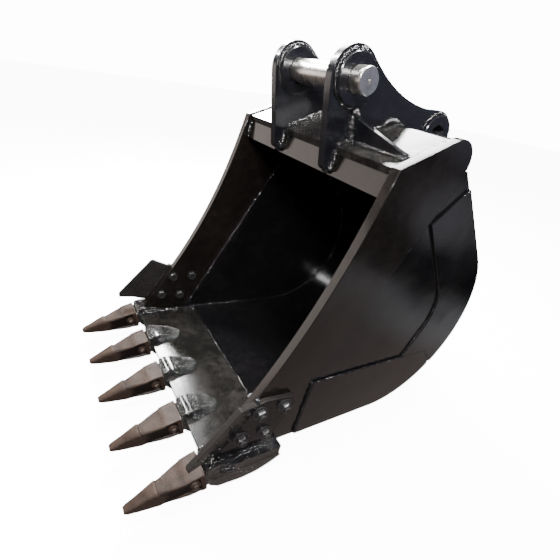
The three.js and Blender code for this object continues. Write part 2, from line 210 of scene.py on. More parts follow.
def wrap_line(r, start, end, steps=72):
    stops = [BEND_LENGTH * i / steps for i in range(steps + 1)]
    inside = [s for s in stops if start + 1 < s < end - 1]
    return [wrap(s, r) for s in [start, *inside, end]]


def band(inner, outer, start, end):
    return wrap_line(outer, start, end) + wrap_line(inner, start, end)[::-1]


def edge_at(z):
    """The hollow front edge of the sides, at a height."""
    return EDGE_CENTRE[0] + math.sqrt(EDGE_RADIUS**2 - (EDGE_CENTRE[1] - z) ** 2)


def top_slope():
    dy = NOSE[0] - FRONT_CORNER[0]
    dz = NOSE[1] - FRONT_CORNER[1]
    return math.atan2(dz, dy) + math.asin(NOSE_RADIUS / math.hypot(dy, dz))


TOP_SLOPE = top_slope()
TOP_ANGLE = math.pi / 2 + TOP_SLOPE


def top_at(y, r):
    """A point on the top line's parallel that touches radius r about the nose."""
    start_y = NOSE[0] - r * math.sin(TOP_SLOPE)
    start_z = NOSE[1] + r * math.cos(TOP_SLOPE)
    return (y, start_z + (y - start_y) * math.tan(TOP_SLOPE))


def seam_at(t, offset=0.0):
    """The joint of cutting bar and side plate, from its foot (0) to its top (1), moved back by an offset."""
    foot = Vector(wrap(SEAM_FOOT, WRAP_INNER))
    run = Vector(wrap(BEND_LENGTH + SEAM_TOP, SIDE_RADIUS)) - foot
    back = Vector((run.y, -run.x)).normalized() * offset
    return tuple(foot + run * t + back)


def wear_top_at(y):
    """The wear plate's top line, which runs parallel to the floor."""
    start_y = HEEL[0] + WEAR_TOP * math.cos(WRAP_ANGLE)
    start_z = HEEL[1] + WEAR_TOP * math.sin(WRAP_ANGLE)
    return (y, start_z - (y - start_y) * math.tan(FLOOR_SLOPE))


# ------------------------------------------------------------------------------------------------
# Materials

# Colour sockets of a Mix node.
MIX_FIRST = 6
MIX_SECOND = 7
MIX_RESULT = 2


class Nodes:
    """A short way to write a node tree."""

    def __init__(self, tree):
        self.tree = tree

    def add(self, kind, **inputs):
        node = self.tree.nodes.new(kind)
        for key, value in inputs.items():
            self.put(node.inputs[key.replace("_", " ")], value)
        return node

    def put(self, socket, value):
        if isinstance(value, bpy.types.NodeSocket):
            self.tree.links.new(value, socket)
        else:
            socket.default_value = value

    def place(self):
        return self.add("ShaderNodeTexCoord").outputs["Object"]

    def noise(self, vector, scale, detail=4.0, roughness=0.55):
        node = self.add("ShaderNodeTexNoise", Vector=vector, Scale=scale, Detail=detail, Roughness=roughness)
        return node.outputs["Fac"]

    def spread(self, value, low, high, new_low, new_high):
        node = self.add("ShaderNodeMapRange")
        node.inputs["Value"].default_value = 0
        sockets = ("Value", "From Min", "From Max", "To Min", "To Max")
        for key, item in zip(sockets, (value, low, high, new_low, new_high)):
            self.put(node.inputs[key], item)
        return node.outputs["Result"]

    def blend(self, factor, first, second):
        node = self.add("ShaderNodeMix")
        node.data_type = "RGBA"
        self.put(node.inputs["Factor"], factor)
        self.put(node.inputs[MIX_FIRST], first)
        self.put(node.inputs[MIX_SECOND], second)
        return node.outputs[MIX_RESULT]

    def math(self, operation, first, second=0.0):
        node = self.add("ShaderNodeMath")
        node.operation = operation
        self.put(node.inputs[0], first)
        self.put(node.inputs[1], second)
        return node.outputs[0]

    def along(self, vector, direction):
        """The dot product of a vector with a fixed direction."""
        node = self.add("ShaderNodeVectorMath", Vector=vector)
        node.operation = "DOT_PRODUCT"
        node.inputs[1].default_value = direction
        return node.outputs["Value"]

    def ramp(self, level, steps):
        node = self.add("ShaderNodeValToRGB", Fac=level)
        while len(node.color_ramp.elements) < len(steps):
            node.color_ramp.elements.new(0.5)
        for element, (at, shade) in zip(node.color_ramp.elements, steps):
            element.position = at
            element.color = colour(*shade)
        return node.outputs["Color"]

    def bump(self, height, distance, strength=1.0, below=None):
        node = self.add("ShaderNodeBump", Height=height, Distance=distance, Strength=strength)
        if below is not None:
            self.put(node.inputs["Normal"], below)
        return node.outputs["Normal"]


class Paint(Nodes):
    """The node tree of a new material."""

    def __init__(self, name):
        self.material = bpy.data.materials.new(name)
        self.material.use_nodes = True
        super().__init__(self.material.node_tree)
        self.shader = self.tree.nodes["Principled BSDF"]

    def set(self, **inputs):
        for key, value in inputs.items():
            self.put(self.shader.inputs[key.replace("_", " ")], value)


def colour(red, green, blue):
    return (red, green, blue, 1.0)


def enamel(name, base, film, gloss, film_amount=0.35, peel=0.0004, sag=0.0022):
    """Sprayed gloss paint: orange peel, slow ripples from the plate under it, and a patchy dull film."""
    n = Paint(name)
    at = n.place()
    cloud = n.noise(at, 5.0, 6.0, 0.62)
    streak = n.noise(at, 38.0, 4.0, 0.6)
    patch = n.spread(n.math("MULTIPLY", cloud, streak), 0.2, 0.42, 0.0, film_amount)
    n.set(Base_Color=n.blend(patch, base, film))
    n.set(Roughness=n.spread(cloud, 0.35, 0.72, gloss, gloss + 0.14))
    ripple = n.bump(n.noise(at, 7.0, 1.0, 0.4), sag)
    n.set(Normal=n.bump(n.noise(at, 210.0, 2.0, 0.5), peel, 0.35, ripple))
    n.shader.inputs["Specular IOR Level"].default_value = 0.55
    n.shader.inputs["Coat Weight"].default_value = 0.25
    n.shader.inputs["Coat Roughness"].default_value = 0.06
    return n.material


def casting(name, base, worn_and_lit, rough, grain, relief, shine=0.36):
    """Thin paint over a sand-cast surface, browner on its edges and on top: the edges are partly rubbed paint
    and partly a painted highlight, and the lighter tops are painted light from above, broken up in patches,
    with some rubbed paint.
    """
    n = Paint(name)
    at = n.place()
    cloud = n.noise(at, 16.0, 5.0, 0.6)
    sand = n.noise(at, grain, 5.0, 0.65)
    geometry = n.add("ShaderNodeNewGeometry")
    # Pointiness lightens the edges: partly rubbed paint, partly a painted highlight along them.
    edge = n.spread(geometry.outputs["Pointiness"], 0.49, 0.56, 0.0, 0.7)
    # Faces that point up get the lighter colour in patches: painted light on the tops, partly rubbed paint.
    facing = n.add("ShaderNodeSeparateXYZ", Vector=geometry.outputs["Normal"]).outputs["Z"]
    painted_top_light = n.spread(facing, 0.0, 0.6, 0.1, 1.0)
    lit_and_worn_top = n.math("MULTIPLY", n.spread(cloud, 0.3, 0.62, 0.1, 0.85), painted_top_light)
    wear_and_painted_light = n.math("ADD", lit_and_worn_top, edge)
    wear_and_painted_light.node.use_clamp = True
    n.set(Base_Color=n.blend(wear_and_painted_light, base, worn_and_lit))
    n.set(Roughness=n.spread(sand, 0.3, 0.7, rough - 0.1, rough + 0.12))
    coarse = n.bump(cloud, relief * 2.5, 0.6)
    n.set(Normal=n.bump(sand, relief, 0.8, coarse))
    n.shader.inputs["Specular IOR Level"].default_value = shine
    return n.material


def weld_paint(name, base, glint, grain, relief):
    """Paint over weld metal: wet-looking, with drips and spatter that catch the light."""
    n = Paint(name)
    at = n.place()
    coarse = n.noise(at, grain, 2.0, 0.5)
    fine = n.noise(at, grain * 2.7, 2.0, 0.5)
    n.set(Base_Color=n.blend(n.spread(fine, 0.5, 0.75, 0.0, 0.6), base, glint))
    n.set(Roughness=n.spread(fine, 0.3, 0.7, 0.06, 0.18))
    n.set(Normal=n.bump(fine, relief * 0.35, 1.0, n.bump(coarse, relief, 1.0)))
    n.shader.inputs["Specular IOR Level"].default_value = 0.7
    n.shader.inputs["Coat Weight"].default_value = 0.6
    n.shader.inputs["Coat Roughness"].default_value = 0.04
    return n.material


def turned_steel(name, tint, rough):
    """Bare turned steel about the pin's axis: fine grooves round it and rings on its ends."""
    n = Paint(name)
    middle = centre("hinge_pin")
    shifted = n.add("ShaderNodeVectorMath", Vector=n.place())
    shifted.operation = "SUBTRACT"
    shifted.inputs[1].default_value = (0.0, middle.y, middle.z)
    parts = n.add("ShaderNodeSeparateXYZ", Vector=shifted.outputs[0])
    y_squared = n.math("MULTIPLY", parts.outputs["Y"], parts.outputs["Y"])
    z_squared = n.math("MULTIPLY", parts.outputs["Z"], parts.outputs["Z"])
    radius = n.math("SQRT", n.math("ADD", y_squared, z_squared))
    grooves = n.add("ShaderNodeCombineXYZ", X=parts.outputs["X"], Y=radius)
    cut = n.noise(grooves.outputs[0], 620.0, 2.0, 0.5)
    stain = n.noise(n.place(), 24.0, 4.0, 0.6)
    n.set(Base_Color=n.blend(n.spread(stain, 0.45, 0.75, 0.0, 0.6), tint, colour(0.33, 0.31, 0.27)))
    n.set(Roughness=n.spread(cut, 0.3, 0.7, rough, rough + 0.18))
    n.set(Normal=n.bump(cut, 0.00015, 0.5))
    n.shader.inputs["Metallic"].default_value = 1.0
    return n.material


BLACK = enamel("gloss_black", colour(0.0035, 0.0035, 0.004), colour(0.014, 0.012, 0.012), 0.08)
EAR_BLACK = enamel("ear_black", colour(0.0045, 0.0045, 0.006), colour(0.016, 0.016, 0.02), 0.15)
EDGE = enamel("edge_black", colour(0.005, 0.004, 0.0036), colour(0.02, 0.0155, 0.0135), 0.12, 0.3)
LIP_BLACK = enamel(
    "lip_black", colour(0.006, 0.0056, 0.0052), colour(0.028, 0.025, 0.023), 0.12, 0.8, peel=0.0011)
CAST = casting(
    "tooth_paint", colour(0.004, 0.0028, 0.0024), colour(0.034, 0.022, 0.0165), 0.36,
    grain=230.0, relief=0.0018, shine=0.16)
STRAP = weld_paint(
    "adapter_paint", colour(0.0015, 0.0014, 0.0014), colour(0.01, 0.008, 0.007), grain=105.0, relief=0.012)
CUTTER = casting(
    "cutter_paint", colour(0.004, 0.0038, 0.0038), colour(0.018, 0.016, 0.015), 0.18,
    grain=45.0, relief=0.0004)
FASTENER = casting(
    "bolt_paint", colour(0.004, 0.004, 0.0045), colour(0.02, 0.019, 0.019), 0.16,
    grain=220.0, relief=0.0005)
WELD = weld_paint(
    "weld_black", colour(0.0015, 0.0015, 0.002), colour(0.01, 0.01, 0.01), grain=120.0, relief=0.011)
BRIGHT_STEEL = turned_steel("turned_steel", colour(0.82, 0.8, 0.76), 0.2)
DULL_STEEL = turned_steel("dull_steel", colour(0.55, 0.5, 0.44), 0.38)

# ------------------------------------------------------------------------------------------------
# Building meshes

SHARP = math.radians(38)


def finish_mesh(name, mesh, material, weighted=True):
    """Places a mesh drawn in the working frame, shades it smooth between sharp edges, and adds it."""
    mesh.transform(PLACE)
    mesh.materials.clear()
    mesh.materials.append(material)
    mesh.shade_smooth()
    mesh.set_sharp_from_angle(angle=SHARP)
    piece = bpy.data.objects.new(name, mesh)
    bpy.context.scene.collection.objects.link(piece)
    if weighted:
        modifier = piece.modifiers.new("flat faces", "WEIGHTED_NORMAL")
        modifier.keep_sharp = True
    return piece


def stand_for(piece, node, body="bucket"):
    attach(piece, body)
    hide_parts(node)
    return piece


def clean(mesh):
    """Joins the doubled points of a mesh and turns its faces outwards."""
    bm = bmesh.new()
    bm.from_mesh(mesh)
    bmesh.ops.remove_doubles(bm, verts=bm.verts, dist=0.02)
    bmesh.ops.dissolve_degenerate(bm, dist=0.02, edges=bm.edges)
    bmesh.ops.recalc_face_normals(bm, faces=bm.faces)
    bm.to_mesh(mesh)
    bm.free()
    return mesh


def plate_mesh(outline, basis, thickness, bevel, holes=()):
    """A flat outline of the given thickness about its basis plane, with rounded edges."""
    data = bpy.data.curves.new("outline", "CURVE")
    data.dimensions = "2D"
    data.fill_mode = "BOTH"
    data.extrude = thickness / 2 - bevel
    data.bevel_depth = bevel
    data.bevel_resolution = 2
    data.offset = -bevel
    for loop in (outline, *holes):
        spline = data.splines.new("POLY")
        spline.points.add(len(loop) - 1)
        for point, (x, y) in zip(spline.points, loop):
            point.co = (x, y, 0, 1)
        spline.use_cyclic_u = True
    carrier = bpy.data.objects.new("outline", data)
    bpy.context.scene.collection.objects.link(carrier)
    bpy.context.view_layer.update()
    graph = bpy.context.evaluated_depsgraph_get()
    mesh = bpy.data.meshes.new_from_object(carrier.evaluated_get(graph))
    bpy.data.objects.remove(carrier)
    bpy.data.curves.remove(data)
    mesh.transform(basis)
    return clean(mesh)


def slab_mesh(outline, x0, x1, bevel=1.6, holes=()):
    """A side outline (y, z) between two planes across the bucket."""
    basis = Matrix.Translation(((x0 + x1) / 2, 0, 0)) @ SIDEWAYS
    return plate_mesh(outline, basis, abs(x1 - x0), bevel, holes)


def slab(node, material, outline, x0, x1, bevel=1.6, holes=()):
    piece = finish_mesh(node + "_fine", slab_mesh(outline, x0, x1, bevel, holes), material)
    return stand_for(piece, node)


def circle(middle, radius, steps=40):
    return arc(middle, radius, 0, 2 * math.pi * (steps - 1) / steps, steps - 1)


def ring_mesh(rings, closed_path=False):
    """Joins rings of points, each with the same count, into one closed mesh."""
    bm = bmesh.new()
    rows = [[bm.verts.new(p) for p in ring] for ring in rings]
    count = len(rows[0])
    pairs = list(zip(rows, rows[1:]))
    if closed_path:
        pairs.append((rows[-1], rows[0]))
    for first, second in pairs:
        for i in range(count):
            j = (i + 1) % count
            bm.faces.new((first[i], first[j], second[j], second[i]))
    if not closed_path:
        bm.faces.new(rows[0][::-1])
        bm.faces.new(rows[-1])
    bmesh.ops.recalc_face_normals(bm, faces=bm.faces)
    return bm


def mesh_of(bm):
    mesh = bpy.data.meshes.new("mesh")
    bm.to_mesh(mesh)
    bm.free()
    return mesh


def lathe_mesh(middle, profile, segments=72, closed=False):
    """Turns a profile of (x, radius) about the line across the bucket through middle (y, z)."""
    rings = []
    for x, radius in profile:
        ring = []
        for i in range(segments):
            a = 2 * math.pi * i / segments
            ring.append((x, middle[0] + radius * math.cos(a), middle[1] + radius * math.sin(a)))
        rings.append(ring)
    return mesh_of(ring_mesh(rings, closed_path=closed))


def hex_mesh(middle, across, x0, x1, chamfer=4.0):
    """A hexagon head or nut whose corners are rounded off by a cone at its outer end x1."""
    steps = 48
    side = 1 if x1 > x0 else -1
    depth = abs(x1 - x0)
    flat = across / 2 * math.cos(math.pi / 6)
    stations = ((0.0, across), (0.35, across), (1 - chamfer / depth, across / 2), (1.0, flat * 0.93))
    rings = []
    for share, cone in stations:
        x = x0 + side * depth * share
        ring = []
        for i in range(steps):
            a = 2 * math.pi * i / steps
            inner = (a + math.pi / 6) % (math.pi / 3) - math.pi / 6
            radius = min(flat / math.cos(math.pi / 6 - abs(inner)), cone)
            ring.append((x, middle[0] + radius * math.cos(a), middle[1] + radius * math.sin(a)))
        rings.append(ring)
    return mesh_of(ring_mesh(rings))


def joined(meshes):
    """One mesh out of several."""
    bm = bmesh.new()
    for mesh in meshes:
        bm.from_mesh(mesh)
        bpy.data.meshes.remove(mesh)
    return mesh_of(bm)


# ------------------------------------------------------------------------------------------------
# Body plates


def bar_outline():
    steps = 30
    heights = [BAR_TOE + 60 + (FRONT_CORNER[1] - 120 - BAR_TOE) * i / steps for i in range(steps + 1)]
    return [
        wrap(LIP_START + 12, WRAP_INNER),
        (edge_at(BAR_TOE), BAR_TOE),
        *[(edge_at(z), z) for z in heights],
        FRONT_CORNER,
        *arc(NOSE, NOSE_RADIUS, TOP_ANGLE, math.radians(-28), 28),
        seam_at(1),
        seam_at(0),
    ]


def cutting_bars():
    for word, side in SIDES:
        holes = [circle(spot, BOLT_HOLE, 24) for spot in BOLTS]
        node = f"cutting_bar_{word}"
        slab(node, EDGE, bar_outline(), side * BAR_INNER, side * HALF_WIDTH, 2.4, holes)


def side_plates():
    start = LIP_END + 4
    outline = [seam_at(0, 2 * GAP), wrap(start, WRAP_INNER)]
    outline += wrap_line(SIDE_RADIUS, start, BEND_LENGTH + SEAM_TOP - 2 * GAP)
    for word, side in SIDES:
        node = f"side_plate_{word}"
        slab(node, BLACK, outline, side * SIDE_INNER, side * SIDE_OUTER)


def wear_corner():
    """The wear plate's rear corner and the end of its top line."""
    rear = wrap(WEAR_REAR, PATCH_RADIUS)
    return (rear[0], rear[1] + WEAR_RISE), wear_top_at(rear[0] - WEAR_BACK)


def heel_doublers():
    near = SIDE_OUTER + GAP
    toe = wear_top_at(DOUBLER_TOE)
    corner, back = wear_corner()
    outline = [
        (toe[0], toe[1] + 1),
        *arc(DOUBLER, DOUBLER_RADIUS, DOUBLER_LOW, math.pi / 2 - BACK_SLOPE, 30),
        seam_at(DOUBLER_SEAM, 10),
        *wrap_line(PATCH_RADIUS, DOUBLER_ENDS[0], BEND_LENGTH + DOUBLER_ENDS[1])[::-1],
        (corner[0] + 3, corner[1] + 4),
        (back[0] + 1, back[1] + 1),
    ]
    for word, side in SIDES:
        node = f"heel_doubler_{word}"
        slab(node, BLACK, outline, side * near, side * (near + DOUBLER_THICK), 1.2)


def bottom_wear_plates():
    near = SIDE_OUTER + GAP
    rim = wrap_line(PATCH_RADIUS, WEAR_FRONT, WEAR_REAR)
    outline = [*rim, *wear_corner(), wear_top_at(WEAR_TOP_FRONT)]
    for word, side in SIDES:
        node = f"bottom_wear_plate_{word}"
        slab(node, BLACK, outline, side * near, side * (near + DOUBLER_THICK), 3.6)


def shell():
    half = SIDE_INNER - GAP
    outline = band(WRAP_INNER, WRAP_OUTER, LIP_END + GAP, BEND_LENGTH + SHELL_END)
    slab("bucket_shell", BLACK, outline, -half, half, 1.0)


def cut_with(piece, cutters):
    """Cuts closed meshes out of a piece."""
    for mesh in cutters:
        tool = bpy.data.objects.new("tool", mesh)
        bpy.context.scene.collection.objects.link(tool)
        modifier = piece.modifiers.new("cut", "BOOLEAN")
        modifier.operation = "DIFFERENCE"
        modifier.solver = "EXACT"
        modifier.object = tool
        bpy.context.view_layer.update()
        graph = bpy.context.evaluated_depsgraph_get()
        piece.data = bpy.data.meshes.new_from_object(piece.evaluated_get(graph))
        piece.modifiers.remove(modifier)
        bpy.data.objects.remove(tool)
    return piece


def lip_plate():
    outline = [
        wrap(LIP_START, WRAP_INNER),
        wrap(LIP_START, WRAP_INNER + 12),
        wrap(LIP_START + 26, WRAP_INNER + LIP_THICK),
        wrap(LIP_END, WRAP_INNER + LIP_THICK),
        wrap(LIP_END, WRAP_INNER),
    ]
    mesh = slab_mesh(outline, -HALF_WIDTH, HALF_WIDTH, 1.6)
    carrier = bpy.data.objects.new("lip", mesh)
    bpy.context.scene.collection.objects.link(carrier)
    cutters = []
    for spot in LIP_HOLES:
        rim = circle(spot, LIP_HOLE_RADIUS)
        rings = [[(x, y, z) for x, y in rim] for z in (-140.0, 120.0)]
        cutters.append(mesh_of(ring_mesh(rings)))
    cut_with(carrier, cutters)
    piece = finish_mesh("lip_plate_fine", carrier.data, LIP_BLACK)
    bpy.data.objects.remove(carrier)
    stand_for(piece, "lip_plate")


def top_plate():
    outline = [
        top_at(TOP_FRONT, TUBE_RADIUS - TOP_THICK),
        top_at(NOSE[0] - 56, TUBE_RADIUS - TOP_THICK),
        top_at(NOSE[0] - 14, TUBE_RADIUS),
        top_at(TOP_FRONT, TUBE_RADIUS),
    ]
    slab("top_plate", LIP_BLACK, outline, -BETWEEN_BARS, BETWEEN_BARS)


def front_band():
    outline = [
        BAND_FOOT,
        (BAND_FOOT[0] + BAND_THICK, BAND_FOOT[1] - 6),
        (BAND_HEAD[0] + BAND_THICK, BAND_HEAD[1]),
        BAND_HEAD,
    ]
    slab("front_band", EDGE, outline, -BETWEEN_BARS, BETWEEN_BARS)


def torque_tube():
    half = BETWEEN_BARS
    profile = [(-half, TUBE_BORE), (-half, TUBE_RADIUS), (half, TUBE_RADIUS), (half, TUBE_BORE)]
    mesh = lathe_mesh(NOSE, profile, closed=True)
    stand_for(finish_mesh("torque_tube_fine", mesh, BLACK), "torque_tube")


def wear_strips():
    for i in range(3):
        start = FIRST_STRIP + i * STRIP_PITCH
        outline = band(WRAP_OUTER + GAP, WRAP_OUTER + STRIP_THICK, start, start + STRIP_LENGTH)
        slab(f"heel_wear_strip_{i + 1}", BLACK, outline, -STRIP_HALF, STRIP_HALF, 2.0)


# ------------------------------------------------------------------------------------------------
# Hinge


def ear_outline():
    dy = REAR_LUG[0] - FRONT_LUG[0]
    dz = REAR_LUG[1] - FRONT_LUG[1]
    span = math.hypot(dy, dz)
    a = EAR_NECK + LUG_RADII[0]
    b = EAR_NECK + LUG_RADII[1]
    along = (a * a - b * b + span * span) / (2 * span)
    above = math.sqrt(a * a - along * along)
    neck = (
        FRONT_LUG[0] + (dy * along - dz * above) / span,
        FRONT_LUG[1] + (dz * along + dy * above) / span,
    )
    to_front = math.atan2(FRONT_LUG[1] - neck[1], FRONT_LUG[0] - neck[0])
    to_rear = math.atan2(REAR_LUG[1] - neck[1], REAR_LUG[0] - neck[0])
    foot = wrap(BEND_LENGTH + 215, WRAP_OUTER - 6)
    return [
        (936, 880),
        (936, 836),
        *arc((898, 852), 22, math.radians(-78), math.radians(-170), 8),
        *arc(FRONT_LUG, LUG_RADII[0], math.pi, to_front + math.pi, 30),
        *arc(neck, EAR_NECK, to_front, to_rear, 24)[1:-1],
        *arc(REAR_LUG, LUG_RADII[1], to_rear + math.pi, math.radians(-20), 30),
        (foot[0] + 34, foot[1] + 12),
        foot,
        (1200, 880),
    ]


def ears():
    holes = [circle(FRONT_LUG, BOSS_RADIUS, 64), circle(REAR_LUG, BOSS_RADIUS, 64)]
    for word, side in SIDES:
        near = side * EAR_INNER
        far = side * EAR_OUTER
        slab(f"ear_{word}", EAR_BLACK, ear_outline(), near, far, 2.2, holes)


def bosses():
    bore = PIN_RADIUS + 0.6
    for word, side in SIDES:
        for name, lug in (("front", FRONT_LUG), ("rear", REAR_LUG)):
            low = side * (EAR_INNER - BOSS_PROUD)
            high = side * (EAR_OUTER + BOSS_PROUD)
            profile = [
                (low, bore + 2), (low, BOSS_RADIUS - 3), (low + side * 3, BOSS_RADIUS),
                (high - side * 3, BOSS_RADIUS), (high, BOSS_RADIUS - 3), (high, bore + 2),
                (high - side * 2, bore), (low + side * 2, bore),
            ]
            mesh = lathe_mesh(lug, profile, 80, closed=True)
            node = f"{name}_boss_{word}"
            stand_for(finish_mesh(node + "_fine", mesh, EAR_BLACK), node)


def hinge_pin():
    """The pin, with a chamfer and a centre drilling at each end."""
    half = PIN_LENGTH / 2
    drilling = [(half - 9, 0.1), (half - 8, 3.4), (half, 6.5)]
    chamfer = [(half, PIN_RADIUS - 3), (half - 3, PIN_RADIUS - 0.6), (half - 4, PIN_RADIUS)]
    end = [*drilling, *chamfer]
    mesh = lathe_mesh(FRONT_LUG, [(-x, radius) for x, radius in end] + end[::-1], 96)
    stand_for(finish_mesh("hinge_pin_fine", mesh, BRIGHT_STEEL), "hinge_pin", "pin")


def rib():
    """The single rib across the top plate, on the right ear's outer side."""
    upright = Matrix(((1, 0, 0, 0), (0, 0, -1, RIB_Y + RIB_THICK / 2), (0, 1, 0, 0), (0, 0, 0, 1)))
    low = top_at(RIB_Y, TUBE_RADIUS)[1] + 1
    inner = EAR_OUTER + GAP
    outer = inner + RIB_REACH
    outline = [(inner, low), (outer, low), (outer, RIB_END_HEIGHT), (inner, RIB_HEIGHT)]
    mesh = plate_mesh(outline, upright, RIB_THICK, 2.0)
    stand_for(finish_mesh("gusset_rib_fine", mesh, EAR_BLACK), "gusset_rib")


# ------------------------------------------------------------------------------------------------
# Ground engaging tools

# Stations of a tooth: distance from the tip, half width, underside, top, radius of the top's shoulders,
# depth of its side pocket.
TOOTH_STATIONS = (
    (-1.5, 11, -1, 6, 3, 0), (1, 13, -4, 9, 6, 0), (10, 16, -8, 13, 9, 0), (28, 18.5, -14, 19, 13, 0),
    (45, 21, -18, 24, 15, 0), (70, 25, -23, 31, 16, 0), (96, 29.5, -28, 37, 15, 0), (102, 30, -29, 37, 14, 0),
    (107, 28.5, -30, 32, 12, 0), (118, 30, -31, 33, 11, 1),
    (136, 34, -33, 35, 9, 4), (160, 40, -36, 38, 7, 8),
    (185, 45, -38, 40, 5, 10), (189, 46, -38.5, 43.5, 4, 10),
    (205, 47, -40, 45, 4, 10), (226, 48, -41, 46, 4, 9),
    (233, 48.5, -42, 46, 4, 1), (245, 49, -42, 47, 4, 0), (248, 47, -40, 45, 3, 0),
)


def tooth_ring(x, y, half, low, high, shoulder, pocket):
    """A box section with rounded upper shoulders and a pocket in each side."""
    foot = min(4.0, (high - low) / 4)
    ledge = high - shoulder - 2
    right = [
        *arc((half - shoulder, high - shoulder), shoulder, math.pi / 2, 0, 6),
        (half, ledge),
        (half - pocket, ledge - pocket * 0.7),
        (half - pocket, low + foot + 1 + pocket * 0.7),
        (half - pocket * 0.25, low + foot + 0.5),
        *arc((half - pocket * 0.25 - foot, low + foot), foot, 0, -math.pi / 2, 3),
    ]
    left = [(-out, z) for out, z in right[::-1]]
    return [(x + out, y, z) for out, z in right + left]


def teeth():
    for i in range(1, 6):
        x = (i - 3) * TOOTH_PITCH
        rings = [tooth_ring(x, *station) for station in TOOTH_STATIONS]
        body = mesh_of(ring_mesh(rings))
        bosses = []
        for side in (1, -1):
            start = x + side * 36
            end = x + side * 47.5
            profile = [(start, 19), (end - side * 2, 16), (end, 13), (end, 10), (start, 10)]
            bosses.append(lathe_mesh(TOOTH_PIN, profile, 32, closed=True))
        piece = finish_mesh(f"tooth_{i}_fine", joined([body, *bosses]), CAST)
        stand_for(piece, f"tooth_{i}")
        end = [(44, 0.5), (44, 7.5), (42.5, 9)]
        left = [(x - out, radius) for out, radius in end]
        right = [(x + out, radius) for out, radius in end[::-1]]
        pin = finish_mesh(f"tooth_pin_{i}_fine", lathe_mesh(TOOTH_PIN, left + right, 28), DULL_STEEL)
        stand_for(pin, f"tooth_pin_{i}")


def lip_top(y):
    """Height of the lip's upper face at y."""
    front = wrap(LIP_START, WRAP_INNER)
    return front[1] - (y - front[0]) * math.tan(FLOOR_SLOPE)


def adapter_outline(filled):
    """The shoulder and the leg under the lip; filled closes the slot that takes the lip."""
    front = [(232, 34), (232, -30), (SHOULDER, -30), (SHOULDER + 3, -42)]
    leg = [(284, -74), (371, -108), (431, -119), (487, -115), (536, -102)]
    leg.append(wrap(LIP_END, WRAP_INNER + LIP_THICK + 2))
    slot = [
        wrap(LIP_END - 20, WRAP_INNER + LIP_THICK),
        wrap(LIP_START + 26, WRAP_INNER + LIP_THICK),
        wrap(LIP_START, WRAP_INNER + 12),
        wrap(LIP_START, WRAP_INNER),
    ]
    if filled:
        slot = [wrap(LIP_END, WRAP_INNER), wrap(-700, WRAP_INNER - 1)]
    brow = [(312, 46), (300, 54), (280, 58), (262, 57), (SHOULDER, 50), (SHOULDER, 34)]
    return [*front, *leg, *slot, *brow]


# Stations of an adapter's strap on the lip: y, half width, height over the lip.
STRAP_STATIONS = (
    (262, 43, 30), (268, 44, 33), (284, 44, 38), (306, 43, 37), (326, 41, 33), (346, 37, 27),
    (362, 33, 22), (374, 28, 18), (382, 22, 14), (388, 13, 9), (390, 6, 5),
)


def strap_mesh(x):
    rings = []
    for y, half, height in STRAP_STATIONS:
        floor_z = lip_top(y) - 1
        corner = min(9.0, height * 0.5)
        top = floor_z + height
        right = [*arc((half - corner, top - corner), corner, math.pi / 2, 0, 4), (half + 1, floor_z)]
        left = [(-out, z) for out, z in right[::-1]]
        rings.append([(x + out, y, z) for out, z in right + left])
    return mesh_of(ring_mesh(rings))


def adapters():
    for i in range(1, 6):
        x = (i - 3) * TOOTH_PITCH
        parts = [slab_mesh(adapter_outline(False), x - BODY_HALF, x + BODY_HALF, 5.0), strap_mesh(x)]
        if i in (1, 5):
            side = math.copysign(1, x)
            near = side * (HALF_WIDTH + 0.5)
            far = x + side * (BODY_HALF - 0.5)
            parts.append(slab_mesh(adapter_outline(True), near, far, 3.0))
        stand_for(finish_mesh(f"adapter_{i}_fine", joined(parts), STRAP), f"adapter_{i}")


def side_cutters():
    for word, side in SIDES:
        near = side * (HALF_WIDTH + GAP)
        far = side * (HALF_WIDTH + GAP + FLANGE_THICK)
        outline = [
            (edge_at(FLANGE_LOW), FLANGE_LOW),
            (500, 26), (528, 42), (608, 148), (594, 186), (488, FLANGE_HIGH),
            (edge_at(FLANGE_HIGH), FLANGE_HIGH),
        ]
        flange = slab_mesh(outline, near, far, 3.0, [circle(spot, BOLT_HOLE, 24) for spot in BOLTS])
        piece = finish_mesh(f"side_cutter_{word}_fine", joined([flange, wing_mesh(side)]), CUTTER)
        stand_for(piece, f"side_cutter_{word}")


def wing_mesh(side):
    """The wing leaves the flange's front edge, bent outwards."""
    foot = Vector((edge_at(FLANGE_LOW), FLANGE_LOW))
    head = Vector((edge_at(FLANGE_HIGH), FLANGE_HIGH))
    lean = math.atan2(head.y - foot.y, head.x - foot.x)
    length = (head - foot).length
    outline = [
        (0, -8), (0, 0), (-20, 50), (-54, 104), (-40, 116),
        (length - 28, 90), (length - 20, 84), (length, 0), (length, -8),
    ]
    axes = Matrix((
        (0, 0, 1, 0),
        (math.cos(lean), -math.sin(lean), 0, 0),
        (math.sin(lean), math.cos(lean), 0, 0),
        (0, 0, 0, 1),
    ))
    bend = Matrix.Rotation(side * WING_BEND, 4, "X")
    thickness = Matrix.Translation((0, 0, side * FLANGE_THICK / 2))
    start = Matrix.Translation((side * (HALF_WIDTH + GAP), foot.x, foot.y))
    return plate_mesh(outline, start @ axes @ bend @ thickness, FLANGE_THICK, 3.0)


def bolt_mesh(spot, side):
    head = side * BETWEEN_BARS
    tail = side * (HALF_WIDTH + FLANGE_THICK + BOLT_TAIL)
    shank = [
        (head, 0.5), (head, BOLT_RADIUS),
        (tail - side * 3, BOLT_RADIUS), (tail, BOLT_RADIUS - 3), (tail, 0.5),
    ]
    return joined([lathe_mesh(spot, shank, 32), hex_mesh(spot, NUT_ACROSS, head, head - side * HEAD_THICK)])


